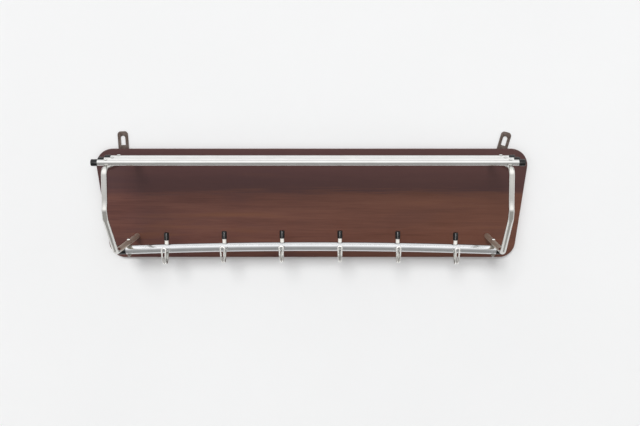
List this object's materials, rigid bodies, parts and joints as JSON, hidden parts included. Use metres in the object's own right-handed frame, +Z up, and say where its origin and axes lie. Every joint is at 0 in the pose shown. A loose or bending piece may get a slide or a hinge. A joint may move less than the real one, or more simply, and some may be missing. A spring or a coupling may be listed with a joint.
{
  "type": "wall coat rack",
  "caption": "Wall coat rack: dark wood backboard, bent chrome side frames carrying a hat shelf of tubes and a rail of wire coat hooks, hung on two swivelling plates.",
  "frame": {"origin": "on the wall, midway between the two hanger plates' pivots, level with the tops of their slots when both plates stand upright", "axes": "+X along the rack to the viewer's right, +Y into the wall, +Z up"},
  "size_m": [1, 0.3018, 0.2951],
  "materials": {
    "board_veneer": "dark red-brown veneer with a fine level grain, satin lacquer",
    "frame_chrome": "bright chrome plate on bent steel tube",
    "shelf_chrome": "bright chrome plate on straight steel tube",
    "rail_chrome": "bright chrome plate on a stout steel tube",
    "hook_chrome": "chrome plate on bent steel wire",
    "fastener_chrome": "chrome plate on domed screws and nuts",
    "black_plastic": "smooth black moulded plastic, half gloss",
    "cream_nylon": "plain cream moulded nylon, half gloss",
    "hanger_steel": "dull stamped steel gone brown-grey, rubbed along its edges",
    "zinc_steel": "plain zinc plate"
  },
  "bodies": {
    "root": {"backboard": "board_veneer", "hanger_screws": "zinc_steel", "side_frame_left": "frame_chrome", "side_frame_right": "frame_chrome", "frame_inserts": "zinc_steel", "frame_screws": "zinc_steel", "hat_tube_rear": "shelf_chrome", "hat_tube_middle": "shelf_chrome", "hat_tube_front": "shelf_chrome", "hat_cap_rear_left": "black_plastic", "hat_cap_rear_right": "black_plastic", "hat_cap_middle_left": "black_plastic", "hat_cap_middle_right": "black_plastic", "hat_cap_front_left": "black_plastic", "hat_cap_front_right": "black_plastic", "hat_tube_screws": "fastener_chrome", "hook_rail": "rail_chrome", "rail_plug_left": "black_plastic", "rail_plug_right": "black_plastic", "rail_bolts": "fastener_chrome", "rail_nuts": "fastener_chrome", "hook_1": "hook_chrome", "hook_2": "hook_chrome", "hook_3": "hook_chrome", "hook_4": "hook_chrome", "hook_5": "hook_chrome", "hook_6": "hook_chrome", "hook_sleeve_1": "cream_nylon", "hook_sleeve_2": "cream_nylon", "hook_sleeve_3": "cream_nylon", "hook_sleeve_4": "cream_nylon", "hook_sleeve_5": "cream_nylon", "hook_sleeve_6": "cream_nylon", "hook_cap_1": "black_plastic", "hook_cap_2": "black_plastic", "hook_cap_3": "black_plastic", "hook_cap_4": "black_plastic", "hook_cap_5": "black_plastic", "hook_cap_6": "black_plastic"},
    "hanger_left": {"hanger_plate_left": "hanger_steel"},
    "hanger_right": {"hanger_plate_right": "hanger_steel"}
  },
  "joints": [
    {"name": "hanger_left_swivel", "type": "hinge", "parent": "root", "child": "hanger_left", "pos_m": [-0.437, -0.001, -0.052], "axis": [0, 1, 0], "range_deg": [-87.5, 92.5]},
    {"name": "hanger_right_swivel", "type": "hinge", "parent": "root", "child": "hanger_right", "pos_m": [0.437, -0.001, -0.052], "axis": [0, 1, 0], "range_deg": [-105, 75]}
  ]
}
